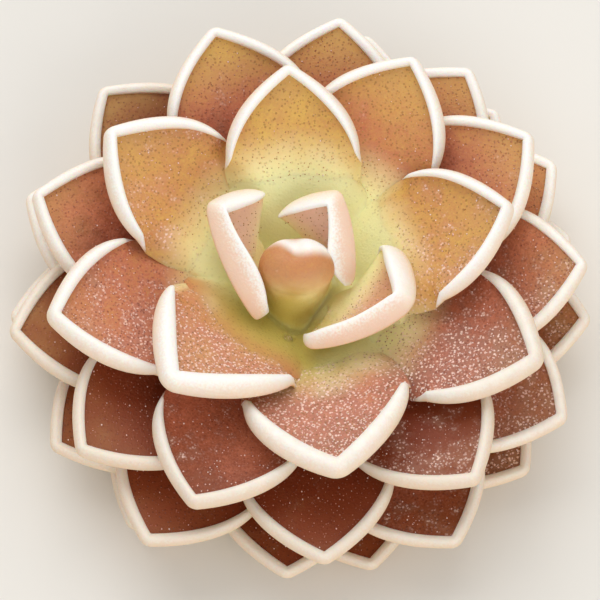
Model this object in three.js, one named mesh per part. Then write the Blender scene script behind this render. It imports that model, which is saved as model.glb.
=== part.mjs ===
// A butterwort in its compact winter rosette, lifted and cut flat under the crown.
//
// Forty-three fleshy leaves sit in a spiral round a short cone of stem, the crown. Each leaf is one closed
// solid: a broad blade with a pointed, rounded outline and a thick rolled rim round its outer half. The leaves
// follow one rule from the youngest (0, the bud in the middle) to the oldest (42, outermost and lowest), and a
// few are crowded a little off it. Millimetres, +Z up, origin at the middle of the cut face under the crown.

import * as THREE from "three";
import { mergeVertices } from "three/addons/utils/BufferGeometryUtils.js";

// ---- The spiral ----
const LEAF_COUNT = 43;
const OLDEST = LEAF_COUNT - 1;
const FIRST_AZIMUTH = 259; // degrees, counterclockwise from +X seen from above
const SPIRAL_STEP = 137.9; // degrees from each leaf to the next older one

// ---- Where leaf tips lie: reach is the distance from the axis, rise the height ----
const FULL_REACH = 22.2;
const REACH_LAG = 3.6; // leaves short of full size at the middle
const REACH_SPAN = 7.4; // leaves over which the reach grows
const OLD_LEAF_SHRINK = 1.1; // the oldest are a little shorter again
const LOWEST_TIP = 1.6;
const TIP_RISE = 13.6; // the youngest open leaf's tip above the lowest tip
const RISE_SPAN = 44.5;
const RISE_POWER = 1.17;

// ---- The crown and the seats of the leaves on it ----
const SEAT_RADIUS = { top: 1.5, spread: 3.3, power: 0.7 };
const SEAT_HEIGHT = { top: 7.0, drop: 6.3, power: 0.86 };
const SEAT_CLEARANCE = 0.42; // between the crown and a leaf's cut base, along the radius
const CROWN_TIP = 7.25;
const CROWN_SIDES = 28;
const CROWN_STEPS = 6;

// ---- The blade ----
const BASE_HALF_WIDTH = 1.15;
const BASE_THICKNESS = 0.62;
const FULL_THICKNESS_FROM = 4; // distance from the base at which the blade has its full thickness
const WIDENING = { first: 4, last: 12 }; // the open leaves that have yet to reach their full width

// ---- The rolled rim ----
const RIM_WIDTH = 0.8;
const RIM_LEFT_OVER = 0.15; // share of its width where it has tapered out
const RIM_OVERRUN = 0.8; // how far the taper runs past the rim's reach
const CREST_PLACE = 0.38; // the crest's distance from the edge, as a share of the rim's width
const EDGE_LEVEL = 0.12; // the outer edge's height over the middle layer, as a share of half the thickness
const UNDERSIDE_TURN = { inwards: 0.5, level: 0.8 }; // where the underside turns up, in the same two shares

const degrees = THREE.MathUtils.degToRad;

// The dimensions of a leaf that follows the rule. age runs from 0 to 42.
function leafByRule(age) {
  const share = age / OLDEST;
  const filling = THREE.MathUtils.clamp(THREE.MathUtils.inverseLerp(WIDENING.first, WIDENING.last, age), 0, 1);
  return {
    azimuth: FIRST_AZIMUTH + SPIRAL_STEP * age,
    reach: FULL_REACH * (1 - Math.exp(-(age + REACH_LAG) / REACH_SPAN)) - OLD_LEAF_SHRINK * share ** 4,
    rise: LOWEST_TIP + TIP_RISE * (1 - age / RISE_SPAN) ** RISE_POWER,
    seatRadius: SEAT_RADIUS.top + SEAT_RADIUS.spread * share ** SEAT_RADIUS.power,
    seatHeight: SEAT_HEIGHT.top - SEAT_HEIGHT.drop * share ** SEAT_HEIGHT.power,
    basePitch: 60 - 66 * Math.min(1, 1.15 * share) ** 0.6, // degrees above level where it leaves the crown
    tipPitch: 22 - 10 * share, // degrees above level at the tip
    handle: 0.36, // length of the midrib curve's handles, as a share of its chord
    halfWidth: 4.95 + 0.65 * filling,
    tipLength: 6.6 + 0.4 * filling, // from the widest place to the tip
    tipPower: 2.15, // how full the outline stays before it closes at the tip
    basePower: 1.43, // how late the blade widens from its base
    tipRadius: 0.8,
    thickness: 0.87 - 0.13 * share,
    cup: 0.085 - 0.06 * share, // curvature across the blade at the tip, 1/mm
    baseCup: 0.25, // share of that curvature at the base
    rimHeight: 0.28 + 0.62 * Math.exp(-(((age - 4) / 12) ** 2)), // above the face
    rimSwell: openRimSwell,
    lean: 0, // how far the blade is pressed towards +Y
    skew: 0, // how far the tip is pulled to the counterclockwise side
  };
}

// How full the rim is, from 1 near the tip (along = 0) to nothing where it has tapered out (along = 1). It
// swells a little before it tapers, and on a young leaf it swells more.
function openRimSwell(along) {
  return (1 - along ** 2) ** 0.7 * (0.9 + 0.5 * along);
}

function youngRimSwell(along) {
  return (1 - along ** 1.7) * (0.8 + 1.25 * along);
}

// The bud leaf and the three that stand round it have shapes of their own: they are still steep, deeply cupped
// and crowded, and the rim of each runs down one side further than down the other. rimLeft is its reach on the
// counterclockwise side, rimRight on the clockwise side.
const YOUNG_BLADE = { baseCup: 0.25, tipPower: 1.8, basePower: 2.6, rimHeight: 1.3, rimSwell: youngRimSwell };
const YOUNG_LEAVES = [
  {
    azimuth: 262, reach: 0, rise: 13, seatRadius: 1.6, seatHeight: 7, basePitch: 40, tipPitch: 100, handle: 0.5,
    halfWidth: 2.8, tipLength: 3.4, tipPower: 4.5, basePower: 3.1, tipRadius: 1.7, cup: 0.4, baseCup: 1,
    rimHeight: 0.35, lean: 1.5,
  },
  {
    ...YOUNG_BLADE, azimuth: 47, reach: 4.3, rise: 13.6, seatRadius: 1.5, seatHeight: 7, basePitch: 90,
    tipPitch: 73, halfWidth: 3.8, tipLength: 4.6, cup: 0.14, lean: 1.5, rimLeft: 2.9, rimRight: 4.1,
  },
  {
    ...YOUNG_BLADE, azimuth: 173, reach: 6.5, rise: 13.1, seatRadius: 1.95, seatHeight: 6.8, basePitch: 78,
    tipPitch: 60, halfWidth: 4.5, tipLength: 5, cup: 0.15, lean: 2.3, skew: 0.2, rimLeft: 5.6, rimRight: 2.5,
  },
  {
    ...YOUNG_BLADE, azimuth: 322, reach: 9.5, rise: 12.3, seatRadius: 2.1, seatHeight: 6.5, basePitch: 65,
    tipPitch: 55, halfWidth: 4.85, tipLength: 6, cup: 0.15, lean: 2.7, rimLeft: 4.7, rimRight: 6.6,
  },
];

// Open leaves that their neighbours crowd off the rule: turn in degrees, stretch along the reach, widen, skew.
const CROWDED = {
  4: { turn: 2.5, stretch: 0.4 },
  5: { turn: -1, stretch: -1.1, widen: 0.4 },
  6: { turn: 6.5, stretch: -0.2 },
  7: { turn: 1, stretch: 0.3 },
  8: { turn: -1, stretch: -0.6, widen: 0.35, skew: -0.7 },
  9: { turn: 1.5 },
  10: { turn: -4 },
  12: { turn: -5, stretch: 0.5 },
  13: { turn: -4 },
  14: { turn: 1.5 },
  15: { turn: -4 },
  16: { turn: 2.5 },
  17: { turn: -2 },
  19: { turn: 3 },
  20: { turn: -2.5 },
  21: { stretch: 0.4 },
  24: { turn: 2.5, stretch: 0.5 },
  26: { turn: -3.5, stretch: 1 },
  27: { turn: 5 },
  29: { turn: 2, stretch: 1 },
  32: { turn: 3 },
  39: { turn: -2.5 },
  41: { turn: -1.6 },
  42: { turn: -6 },
};

function leafDimensions(age) {
  const leaf = { ...leafByRule(age), ...YOUNG_LEAVES[age] };
  const push = CROWDED[age] ?? {};
  leaf.azimuth += push.turn ?? 0;
  leaf.reach += push.stretch ?? 0;
  leaf.halfWidth += push.widen ?? 0;
  leaf.skew += push.skew ?? 0;
  leaf.rimLeft ??= leaf.tipLength;
  leaf.rimRight ??= leaf.tipLength;
  return leaf;
}

// The midrib is one cubic curve in the upright plane through the axis: x is the distance from the axis, y the
// height.
function midribOf(leaf) {
  const seat = new THREE.Vector2(leaf.seatRadius, leaf.seatHeight);
  const tip = new THREE.Vector2(leaf.reach, leaf.rise);
  const handle = leaf.handle * seat.distanceTo(tip);
  const along = (pitch) => new THREE.Vector2(Math.cos(degrees(pitch)), Math.sin(degrees(pitch)));
  const leaving = seat.clone().addScaledVector(along(leaf.basePitch), handle);
  const arriving = tip.clone().addScaledVector(along(leaf.tipPitch), -handle);
  return new THREE.CubicBezierCurve(seat, leaving, arriving, tip);
}

// Half of the flat outline, from the base to the tip. Each station holds its place along the midrib (u), its
// distance from it (w), the direction inwards, how far inwards the midline lies, and the place along the
// midline that it is joined to. Inwards is straight across the blade up to its widest place, and square to the
// edge from there on, so that the two halves of the rim meet in a sharp corner behind the tip.
const BASE_STATIONS = [0, 0.33, 0.67, 1]; // shares of the length from the base to the widest place
const SIDE_STATIONS = 7; // from the widest place to the rounded tip
const TIP_STATIONS = 2; // round the tip
const MIDLINE_STEP = 0.12; // the least distance along the midline from one station to the next

function halfOutline(leaf, length) {
  const { halfWidth, tipLength, tipPower, basePower, tipRadius } = leaf;
  const widest = length - tipLength;
  const baseStation = (share) => {
    const w = THREE.MathUtils.lerp(BASE_HALF_WIDTH, halfWidth, Math.sin((Math.PI / 2) * share) ** basePower);
    return { u: share * widest, w, inU: 0, inW: -1, depth: w, middle: share * widest };
  };
  const sideStation = (share) => {
    const w = halfWidth * (1 - share ** tipPower);
    const slope = (-halfWidth * tipPower * share ** (tipPower - 1)) / tipLength;
    const norm = Math.hypot(1, slope);
    const u = widest + share * tipLength;
    return { u, w, inU: slope / norm, inW: -1 / norm, depth: w * norm, middle: u + slope * w };
  };
  // The tip's arc starts where the midline is one tip radius inwards from the edge.
  let [low, high] = [0.5, 1];
  for (let halving = 0; halving < 40; halving++) {
    const middle = (low + high) / 2;
    if (sideStation(middle).depth > tipRadius) low = middle;
    else high = middle;
  }
  const stations = BASE_STATIONS.map(baseStation);
  for (let side = 1; side <= SIDE_STATIONS; side++) stations.push(sideStation((low * side) / SIDE_STATIONS));
  const start = stations.at(-1);
  const centre = start.u + start.inU * tipRadius;
  const opening = Math.atan2(-start.inW, -start.inU);
  for (let turn = TIP_STATIONS - 1; turn >= 0; turn--) {
    const angle = (opening * turn) / TIP_STATIONS;
    const [c, s] = [Math.cos(angle), Math.sin(angle)];
    stations.push({
      u: centre + tipRadius * c, w: tipRadius * s, inU: -c, inW: -s, depth: tipRadius, middle: centre,
    });
  }
  // Where the edge turns faster than the blade is wide, squares to it would cross before they meet the midline.
  for (let i = 1; i < stations.length - TIP_STATIONS; i++) {
    stations[i].middle = Math.max(stations[i].middle, stations[i - 1].middle + MIDLINE_STEP);
  }
  return stations;
}

// The section square to the edge, as rows of (distance in from the edge, height off the blade's middle layer):
// underside at the midline, underside near the edge, outer edge, crest of the rim, foot of the rim, face at the
// midline. The rim swells a little along its side and then tapers out.
function sectionRows(leaf, station, length, rimReach) {
  const swell = leaf.rimSwell(Math.min(1, (length - station.u) / (rimReach + RIM_OVERRUN)));
  const rimWidth = RIM_WIDTH * (RIM_LEFT_OVER + (1 - RIM_LEFT_OVER) * swell);
  const filled = Math.min(1, station.u / FULL_THICKNESS_FROM);
  const half = THREE.MathUtils.lerp(BASE_THICKNESS, leaf.thickness, filled) / 2;
  const top = [
    [0, EDGE_LEVEL * half],
    [CREST_PLACE * rimWidth, half + leaf.rimHeight * swell],
    [rimWidth, half],
  ];
  // Near the tip the midline comes before the rim's foot, and the rows there end on it.
  const trimmed = top.map(([inwards, height]) =>
    inwards <= station.depth ? [inwards, height] : [station.depth, heightAt(top, station.depth)],
  );
  const under = Math.min(UNDERSIDE_TURN.inwards * rimWidth, station.depth);
  const face = station.depth < rimWidth ? heightAt(top, station.depth) : half;
  return [[station.depth, -half], [under, -UNDERSIDE_TURN.level * half], ...trimmed, [station.depth, face]];
}

// The height of a section's upper side at a distance in from the edge.
function heightAt(top, inwards) {
  const next = top.findIndex(([distance]) => distance >= inwards);
  const [[d0, h0], [d1, h1]] = [top[next - 1], top[next]];
  return THREE.MathUtils.mapLinear(inwards, d0, d1, h0, h1);
}

// A point of the leaf, from its place along the midrib, across it and off the middle layer. The blade is bent
// to a round trough across the midrib, then turned to its azimuth.
function placeOnLeaf(leaf, midrib, length, u, v, height) {
  const share = THREE.MathUtils.clamp(u / length, 0, 1);
  const rib = midrib.getPointAt(share);
  const along = midrib.getTangentAt(share);
  const cup = leaf.cup * THREE.MathUtils.lerp(leaf.baseCup, 1, share);
  const across = Math.sin(cup * v) / cup - height * Math.sin(cup * v) + leaf.skew * share ** 3;
  const off = (1 - Math.cos(cup * v)) / cup + height * Math.cos(cup * v);
  const radius = rib.x - along.y * off;
  const azimuth = degrees(leaf.azimuth);
  const [c, s] = [Math.cos(azimuth), Math.sin(azimuth)];
  const leaning = leaf.lean * share ** 1.5;
  return [radius * c - across * s, radius * s + across * c + leaning, rib.y + along.x * off];
}

// One leaf as a closed mesh: a grid of section rows by outline stations, left base to tip to right base, with
// the base closed by a flat end that is split along the midline.
function leafGeometry(leaf) {
  const midrib = midribOf(leaf);
  const length = midrib.getLength();
  const stations = halfOutline(leaf, length);
  const columns = [];
  const addColumn = (station, side, rimReach) => {
    const rows = sectionRows(leaf, station, length, rimReach);
    columns.push(
      rows.map(([inwards, height]) => {
        const onMidline = inwards >= station.depth;
        const u = onMidline ? station.middle : station.u + station.inU * inwards;
        const v = onMidline ? 0 : station.w + station.inW * inwards;
        return placeOnLeaf(leaf, midrib, length, u, side * v, height);
      }),
    );
  };
  for (const station of stations) addColumn(station, 1, leaf.rimLeft);
  for (const station of stations.slice(0, -1).reverse()) addColumn(station, -1, leaf.rimRight);

  const rowCount = columns[0].length;
  const corner = (column, row) => column * rowCount + row;
  const faces = [];
  const addQuad = (a, b, c, d) => faces.push(a, b, c, a, c, d);
  for (let column = 0; column + 1 < columns.length; column++) {
    for (let row = 0; row + 1 < rowCount; row++) {
      addQuad(
        corner(column, row), corner(column, row + 1), corner(column + 1, row + 1), corner(column + 1, row),
      );
    }
  }
  const last = columns.length - 1;
  for (let row = 1; row + 1 < rowCount; row++) {
    faces.push(corner(0, 0), corner(0, row + 1), corner(0, row));
    faces.push(corner(last, 0), corner(last, row), corner(last, row + 1));
  }
  return closedGeometry(columns.flat(), faces);
}

// Points and triangles as a geometry with its shared points merged and its empty triangles left out.
function closedGeometry(points, faces) {
  const raw = new THREE.BufferGeometry();
  raw.setAttribute("position", new THREE.Float32BufferAttribute(points.flat(), 3));
  raw.setIndex(faces);
  const merged = mergeVertices(raw, 1e-3);
  const index = Array.from(merged.index.array);
  const kept = [];
  for (let i = 0; i < index.length; i += 3) {
    const [a, b, c] = index.slice(i, i + 3);
    if (a !== b && b !== c && a !== c) kept.push(a, b, c);
  }
  merged.setIndex(kept);
  merged.computeVertexNormals();
  return merged;
}

// The crown stands inside the seats of the leaves: a flat cut face, then the cone of seats, then a blunt tip.
function crownGeometry() {
  const profile = [new THREE.Vector2(0, 0)];
  const edge = SEAT_RADIUS.top + SEAT_RADIUS.spread - SEAT_CLEARANCE;
  profile.push(new THREE.Vector2(edge, 0));
  for (let step = CROWN_STEPS; step >= 0; step--) {
    const share = step / CROWN_STEPS;
    const radius = SEAT_RADIUS.top + SEAT_RADIUS.spread * share ** SEAT_RADIUS.power - SEAT_CLEARANCE;
    profile.push(new THREE.Vector2(radius, SEAT_HEIGHT.top - SEAT_HEIGHT.drop * share ** SEAT_HEIGHT.power));
  }
  profile.push(new THREE.Vector2(0, CROWN_TIP));
  const crown = new THREE.LatheGeometry(profile, CROWN_SIDES);
  crown.rotateX(Math.PI / 2); // the lathe turns round +Y
  return crown;
}

// ---- Colours: young leaves are yellow-green and tan, older ones brick red from RED_FROM on ----
const RED_FROM = 12;
const YOUNG_FLESH = new THREE.Color("#d9c476");
const OLD_FLESH = new THREE.Color("#a8563f");
const CROWN_FLESH = new THREE.Color("#b9b763");

const rosette = new THREE.Group();

function addMesh(name, geometry, color) {
  const material = new THREE.MeshStandardMaterial({ color, roughness: 0.45, metalness: 0 });
  const mesh = new THREE.Mesh(geometry, material);
  mesh.name = name;
  rosette.add(mesh);
}

addMesh("crown", crownGeometry(), CROWN_FLESH);
for (let age = 0; age < LEAF_COUNT; age++) {
  const color = YOUNG_FLESH.clone().lerp(OLD_FLESH, Math.min(1, age / RED_FROM));
  addMesh(`leaf_${String(age).padStart(2, "0")}`, leafGeometry(leafDimensions(age)), color);
}

export default rosette;
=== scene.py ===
# %% [markdown]
# # A butterwort in its winter rosette
#
# A butterwort is a small carnivorous plant. In the dry season it closes up into a tight, succulent rosette:
# dozens of thick little leaves in a spiral, each with its margin rolled upwards into a pale rim. This lesson
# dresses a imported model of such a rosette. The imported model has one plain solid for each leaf. Here every
# leaf becomes a fine surface worked out with numpy, the flesh gets its colours from node materials, and
# thousands of tiny glands and dew drops are set on the leaves. Lengths below are in millimetres until the
# last moment.

import math
from types import SimpleNamespace

import bmesh
import bpy
import numpy as np
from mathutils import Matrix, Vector


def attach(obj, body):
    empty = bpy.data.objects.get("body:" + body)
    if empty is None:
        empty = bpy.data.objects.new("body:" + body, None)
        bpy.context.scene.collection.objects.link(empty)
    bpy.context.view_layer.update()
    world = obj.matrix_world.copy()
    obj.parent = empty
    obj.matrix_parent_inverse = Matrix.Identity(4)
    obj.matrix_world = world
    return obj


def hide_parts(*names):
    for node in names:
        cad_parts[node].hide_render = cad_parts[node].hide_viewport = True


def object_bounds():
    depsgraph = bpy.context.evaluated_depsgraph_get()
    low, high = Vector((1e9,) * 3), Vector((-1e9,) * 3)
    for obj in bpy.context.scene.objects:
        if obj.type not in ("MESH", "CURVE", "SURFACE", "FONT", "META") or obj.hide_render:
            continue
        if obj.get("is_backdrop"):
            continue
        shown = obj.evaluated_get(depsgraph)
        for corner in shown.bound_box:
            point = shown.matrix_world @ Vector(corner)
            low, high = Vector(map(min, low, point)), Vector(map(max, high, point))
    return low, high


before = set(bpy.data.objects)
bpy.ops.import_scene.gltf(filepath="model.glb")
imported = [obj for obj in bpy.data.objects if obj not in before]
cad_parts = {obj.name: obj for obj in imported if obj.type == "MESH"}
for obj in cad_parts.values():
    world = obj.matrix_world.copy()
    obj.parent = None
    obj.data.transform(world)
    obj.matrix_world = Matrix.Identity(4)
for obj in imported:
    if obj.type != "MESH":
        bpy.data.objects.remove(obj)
cad_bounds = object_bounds()

MM = 0.001
leaf_nodes = sorted(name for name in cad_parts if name.startswith("leaf_"))
LEAF_COUNT = len(leaf_nodes)
OLDEST = LEAF_COUNT - 1
print(f"{LEAF_COUNT} leaf solids and a crown, {(cad_bounds[1] - cad_bounds[0])[0] / MM:.1f} mm across")

# %% [markdown]
# ## The camera and the light
#
# The rosette is seen steeply from above, a long lens keeping it almost without perspective. The camera comes
# first, so that every later step can be looked at. Most of the light comes from one wide, soft lamp behind
# and above the plant, like a north window. A wide lamp gives soft edges to the shadows between the leaves,
# and its place lets the front leaves fall into shade, so that the tiers can be told apart. A weaker, warmer
# lamp low in front and an even pale sky keep those shadows from going black.

# %% Camera and light
VIEW_ELEVATION = math.radians(69)
VIEW_DISTANCE = 220 * MM
VIEW_TARGET = Vector((0.07, -0.75, 5.71)) * MM
VIEW_LENS, VIEW_SENSOR = 179.8, 36  # millimetres
SKY_COLOUR, SKY_STRENGTH = (1.0, 0.99, 0.97, 1), 0.56

scene = bpy.context.scene
camera = bpy.data.objects.new("camera", bpy.data.cameras.new("camera"))
scene.collection.objects.link(camera)
towards_camera = Vector((0, -math.cos(VIEW_ELEVATION), math.sin(VIEW_ELEVATION)))
camera.location = VIEW_TARGET + towards_camera * VIEW_DISTANCE
camera.rotation_euler = (-towards_camera).to_track_quat("-Z", "Y").to_euler()
camera.data.lens = VIEW_LENS
camera.data.sensor_width = VIEW_SENSOR
camera.data.clip_start = 0.01
camera.data.clip_end = 10
scene.camera = camera


def soft_lamp(name, place, width, watts, colour):
    """A square lamp at a place in metres, turned towards the middle of the plant."""
    lamp = bpy.data.objects.new(name, bpy.data.lights.new(name, "AREA"))
    lamp.data.size = width
    lamp.data.energy = watts
    lamp.data.color = colour
    lamp.location = place
    lamp.rotation_euler = (-Vector(place)).to_track_quat("-Z", "Y").to_euler()
    scene.collection.objects.link(lamp)


soft_lamp("window", place=(-0.06, 0.26, 0.32), width=0.4, watts=1.12, colour=(1.0, 0.985, 0.965))
soft_lamp("fill", place=(0.12, -0.29, 0.2), width=0.3, watts=0.55, colour=(1.0, 0.96, 0.9))
scene.world = bpy.data.worlds.new("studio")
scene.world.use_nodes = True
sky = scene.world.node_tree.nodes["Background"]
sky.inputs["Color"].default_value = SKY_COLOUR
sky.inputs["Strength"].default_value = SKY_STRENGTH
scene.view_settings.view_transform = "Standard"
print("camera, two lamps and the sky are in place")

# %% [markdown]
# ## Shader maths as plain expressions
#
# A material is a graph of nodes. Building it by hand takes many lines for a short formula, so a small class
# wraps a node's output and gives it the signs of arithmetic: `1 - mask` then adds one Math node. Everything
# else, from noise to colour mixing, comes from one method that takes the node's type, its settings and what
# goes into its sockets.


# %% Shader maths
class Socket:
    """One output of a material's node graph. Arithmetic with it adds Math nodes."""

    def __init__(self, graph, output):
        self.graph = graph
        self.output = output

    def math(self, operation, first, second):
        """One Math node with two inputs."""
        return self.graph.node("ShaderNodeMath", {"operation": operation}, {0: first, 1: second})

    def __add__(self, other):
        return self.math("ADD", self, other)

    def __sub__(self, other):
        return self.math("SUBTRACT", self, other)

    def __mul__(self, other):
        return self.math("MULTIPLY", self, other)

    def __radd__(self, other):
        return self.math("ADD", other, self)

    def __rsub__(self, other):
        return self.math("SUBTRACT", other, self)

    def __rmul__(self, other):
        return self.math("MULTIPLY", other, self)


class Graph:
    """The node graph of one new material, with its Principled shader."""

    def __init__(self, name):
        self.material = bpy.data.materials.new(name)
        self.material.use_nodes = True
        self.nodes = self.material.node_tree.nodes
        self.links = self.material.node_tree.links
        self.shader = self.nodes["Principled BSDF"]

    def node(self, kind, settings, sockets, output=0):
        """A new node: its settings first, then each socket by name or number, from a Socket or a value."""
        made = self.nodes.new(kind)
        for name, setting in settings.items():
            setattr(made, name, setting)
        for name, value in sockets.items():
            self.connect(made.inputs[name], value)
        return Socket(self, made.outputs[output])

    def connect(self, target, value):
        """Links a Socket to an input, or sets a plain value there."""
        if isinstance(value, Socket):
            self.links.new(value.output, target)
        else:
            target.default_value = value

    def attribute(self, name, output="Fac"):
        """A field that the mesh carries at its points."""
        settings = {"attribute_name": name}
        return self.node("ShaderNodeAttribute", settings, {}, output)

    def mix(self, factor, first, second):
        """first where the factor is 0, second where it is 1. Both are colours."""
        settings = {"data_type": "RGBA", "clamp_factor": True}
        return self.node("ShaderNodeMix", settings, {0: factor, 6: first, 7: second}, 2)

    def step(self, value, start, end):
        """0 up to start, 1 from end on, and a smooth S between them. start may be the larger."""
        settings = {"interpolation_type": "SMOOTHSTEP"}
        sockets = {"Value": value, "From Min": start, "From Max": end}
        return self.node("ShaderNodeMapRange", settings, sockets)

    def noise(self, vector, scale, detail=2.0):
        """Cloudy noise round 0.5, with blobs of about 1/scale of the vector's unit."""
        sockets = {"Vector": vector, "Scale": scale, "Detail": detail}
        return self.node("ShaderNodeTexNoise", {}, sockets, "Fac")

    def spots(self, vector, scale):
        """The distance to the nearest of scattered points, about 1/scale apart, in their spacing."""
        return self.node("ShaderNodeTexVoronoi", {}, {"Vector": vector, "Scale": scale}, "Distance")

    def millimetres(self):
        """The place in space, in millimetres."""
        place = self.node("ShaderNodeTexCoord", {}, {}, "Object")
        return self.node("ShaderNodeVectorMath", {"operation": "SCALE"}, {0: place, "Scale": 1000.0})

    def finish(self, **sockets):
        """Sets or links the shader's own sockets, their names with _ for a space."""
        for name, value in sockets.items():
            self.connect(self.shader.inputs[name.replace("_", " ")], value)
        return self.material


def colour(red, green, blue):
    """A colour given as it shows on screen, 0 to 255, in the linear values that a shader works with."""
    shown = np.array([red, green, blue]) / 255
    linear = np.where(shown <= 0.04045, shown / 12.92, ((shown + 0.055) / 1.055) ** 2.4)
    return (*linear.tolist(), 1.0)


print(f"the middle grey of a screen is {colour(128, 128, 128)[0]:.2f} to a shader")

# %% [markdown]
# ## The floor
#
# The rosette lies on a plain pale sheet, so that nothing draws the eye from it. One flat square is enough,
# and a little noise in its tone keeps it from looking like an empty background. It isn't part of the plant,
# so it is marked as stage.

# %% The floor
FLOOR_HALF_WIDTH = 1.5  # metres


def pale_floor_finish():
    """A plain pale sheet, a touch uneven in tone."""
    graph = Graph("pale_floor")
    place = graph.node("ShaderNodeTexCoord", {}, {}, "Object")
    tone = graph.noise(place, 40.0)
    paper = graph.mix(tone, colour(226, 224, 219), colour(232, 230, 226))
    return graph.finish(Base_Color=paper, Roughness=0.9)


corners = [(x * FLOOR_HALF_WIDTH, y * FLOOR_HALF_WIDTH, 0) for x, y in ((-1, -1), (1, -1), (1, 1), (-1, 1))]
floor_mesh = bpy.data.meshes.new("floor")
floor_mesh.from_pydata(corners, [], [(0, 1, 2, 3)])
floor_mesh.materials.append(pale_floor_finish())
floor = bpy.data.objects.new("floor", floor_mesh)
scene.collection.objects.link(floor)
floor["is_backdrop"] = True
print(f"floor: {2 * FLOOR_HALF_WIDTH:.0f} m wide")

# %% [markdown]
# ## The spiral rule
#
# Every new leaf of a rosette starts 137.9 degrees round from the one before it, so the leaves never stand in
# line and each fills the widest gap left by the older ones. One rule gives the place and size of all leaves
# by their age, which runs to 42 for the lowest. Age 0 is the bud, which gets a surface of its own further
# down. Leaves 1 to 3 are still upright and crowded and have sizes of their own, and some open leaves are
# pushed a little aside by their neighbours. These are the sizes that the solids were built with, so each fine
# leaf lies where its solid is. Only leaves 1, 2, 3, 5 and 8, which show best, are refined here, by less than
# a millimetre.

# %% The rule for all leaves
SPIRAL_TURN = 137.9  # degrees from one leaf to the next older one
BUD_AZIMUTH = 259
WIDEST_REACH = 22.2
CROWN_TOP = 7.0
YOUNGEST_SEAT = 1.5  # distance from the axis
SEAT_SPREAD, SEAT_DROP = 3.3, 6.3  # how much further out and lower down the oldest leaf is seated
YOUNG = dict(tip_power=1.8, base_power=2.0, rim_height=1.25, rim_width=1.2, young=True)
YOUNG_LEAVES = {
    1: dict(YOUNG, azimuth=47, reach=4.3, rise=13.6, seat_radius=1.5, seat_height=7, base_pitch=90,
            tip_pitch=73, half_width=3.8, tip_length=4.6, cup=0.14, lean=1.5, rim_width=0.7, rim_height=0.85,
            rim_left=4.7, rim_right=5.1, full_left=0.3, full_right=2.7),
    2: dict(YOUNG, azimuth=173, reach=6.7, rise=13.1, seat_radius=1.95, seat_height=6.8, base_pitch=78,
            tip_pitch=60, half_width=4.85, tip_length=5, cup=0.15, lean=2.75, skew=-0.2, rim_width=0.8,
            rim_height=1.05, rim_left=6.5, rim_right=4.4, full_left=2.1, full_right=0.9),
    3: dict(YOUNG, azimuth=322.5, reach=10.2, rise=12.3, seat_radius=2.1, seat_height=6.5, base_pitch=65,
            tip_pitch=55, half_width=5.1, tip_length=6, cup=0.15, lean=2.5, rim_left=7.2, rim_right=7.8,
            full_left=1.2, full_right=0.8),
}
# How single leaves differ from the rule: degrees round, then millimetres of reach, half width, length of the
# closing part and sideways shift of the tip. Broad rims have a width of their own.
TURNED = {4: 2.5, 5: -1, 6: 6.5, 7: 1, 8: -1, 9: 1.5, 10: -4, 12: -5, 13: -4, 14: 1.5, 15: -4, 16: 2.5,
          17: -2, 19: 3, 20: -2.5, 24: 2.5, 26: -3.5, 27: 5, 29: 2, 32: 3, 39: -2.5, 41: -1.6, 42: -6}
STRETCHED = {4: 0.4, 5: -1.1, 6: -0.2, 7: 0.3, 8: -0.6, 12: 0.5, 21: 0.4, 24: 0.5, 26: 1, 29: 1}
WIDENED = {5: 0.8, 8: 0.75}
LENGTHENED = {5: 0.9}
SKEWED = {8: -0.45}
BROAD_RIMS = {5: 1.4, 7: 0.9, 8: 1.3, 10: 1.0, 11: 1.05}
TIP_ROUNDING = {False: 1.1, True: 1.2}  # radius of the point in rim widths, of open and young leaves


def seat_radius(share):
    """Distance from the axis at which a leaf is seated: it grows as share^0.7 of the oldest leaf's age."""
    return YOUNGEST_SEAT + SEAT_SPREAD * share**0.7


def seat_height(share):
    """Height at which it is seated: it falls as share^0.86."""
    return CROWN_TOP - SEAT_DROP * share**0.86


def leaf_sizes(age):
    """All sizes of a leaf. Its reach nears the widest exponentially with age, and its tip sinks from 15.2.
    Reach and rise place the tip, and the seat's radius and height the base. The pitches are the midrib's
    slopes in degrees. The outline closes over the tip length, and the powers and the cup give it its form."""
    share = age / OLDEST
    filling = min(1, max(0, (age - 4) / 8))
    sizes = dict(
        age=age,
        azimuth=BUD_AZIMUTH + SPIRAL_TURN * age,
        reach=WIDEST_REACH * (1 - math.exp(-(age + 3.6) / 7.4)) - 1.1 * share**4,
        rise=1.6 + 13.6 * (1 - age / 44.5) ** 1.17,
        seat_radius=seat_radius(share),
        seat_height=seat_height(share),
        base_pitch=60 - 66 * min(1, 1.15 * share) ** 0.6,
        tip_pitch=22 - 10 * share,
        handle=0.36,
        half_width=4.95 + 0.65 * filling,
        tip_length=6.6 + 0.4 * filling,
        tip_power=2.15,
        base_power=1.15,
        rim_width=0.82,
        thickness=0.87 - 0.13 * share,
        cup=0.085 - 0.06 * share,
        base_cup=0.25,
        rim_height=0.28 + 0.62 * math.exp(-(((age - 4) / 12) ** 2)),
        lean=0,
        skew=0,
        young=False,
    )
    sizes.update(YOUNG_LEAVES.get(age, {}))
    leaf = SimpleNamespace(**sizes)
    leaf.azimuth = math.radians(leaf.azimuth + TURNED.get(age, 0))
    leaf.reach += STRETCHED.get(age, 0)
    leaf.half_width += WIDENED.get(age, 0)
    leaf.tip_length += LENGTHENED.get(age, 0)
    leaf.skew += SKEWED.get(age, 0)
    leaf.rim_width = BROAD_RIMS.get(age, leaf.rim_width)
    leaf.tip_radius = TIP_ROUNDING[leaf.young] * leaf.rim_width
    leaf.rim_left = sizes.get("rim_left", sizes["tip_length"])
    leaf.rim_right = sizes.get("rim_right", sizes["tip_length"])
    return leaf


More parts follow.
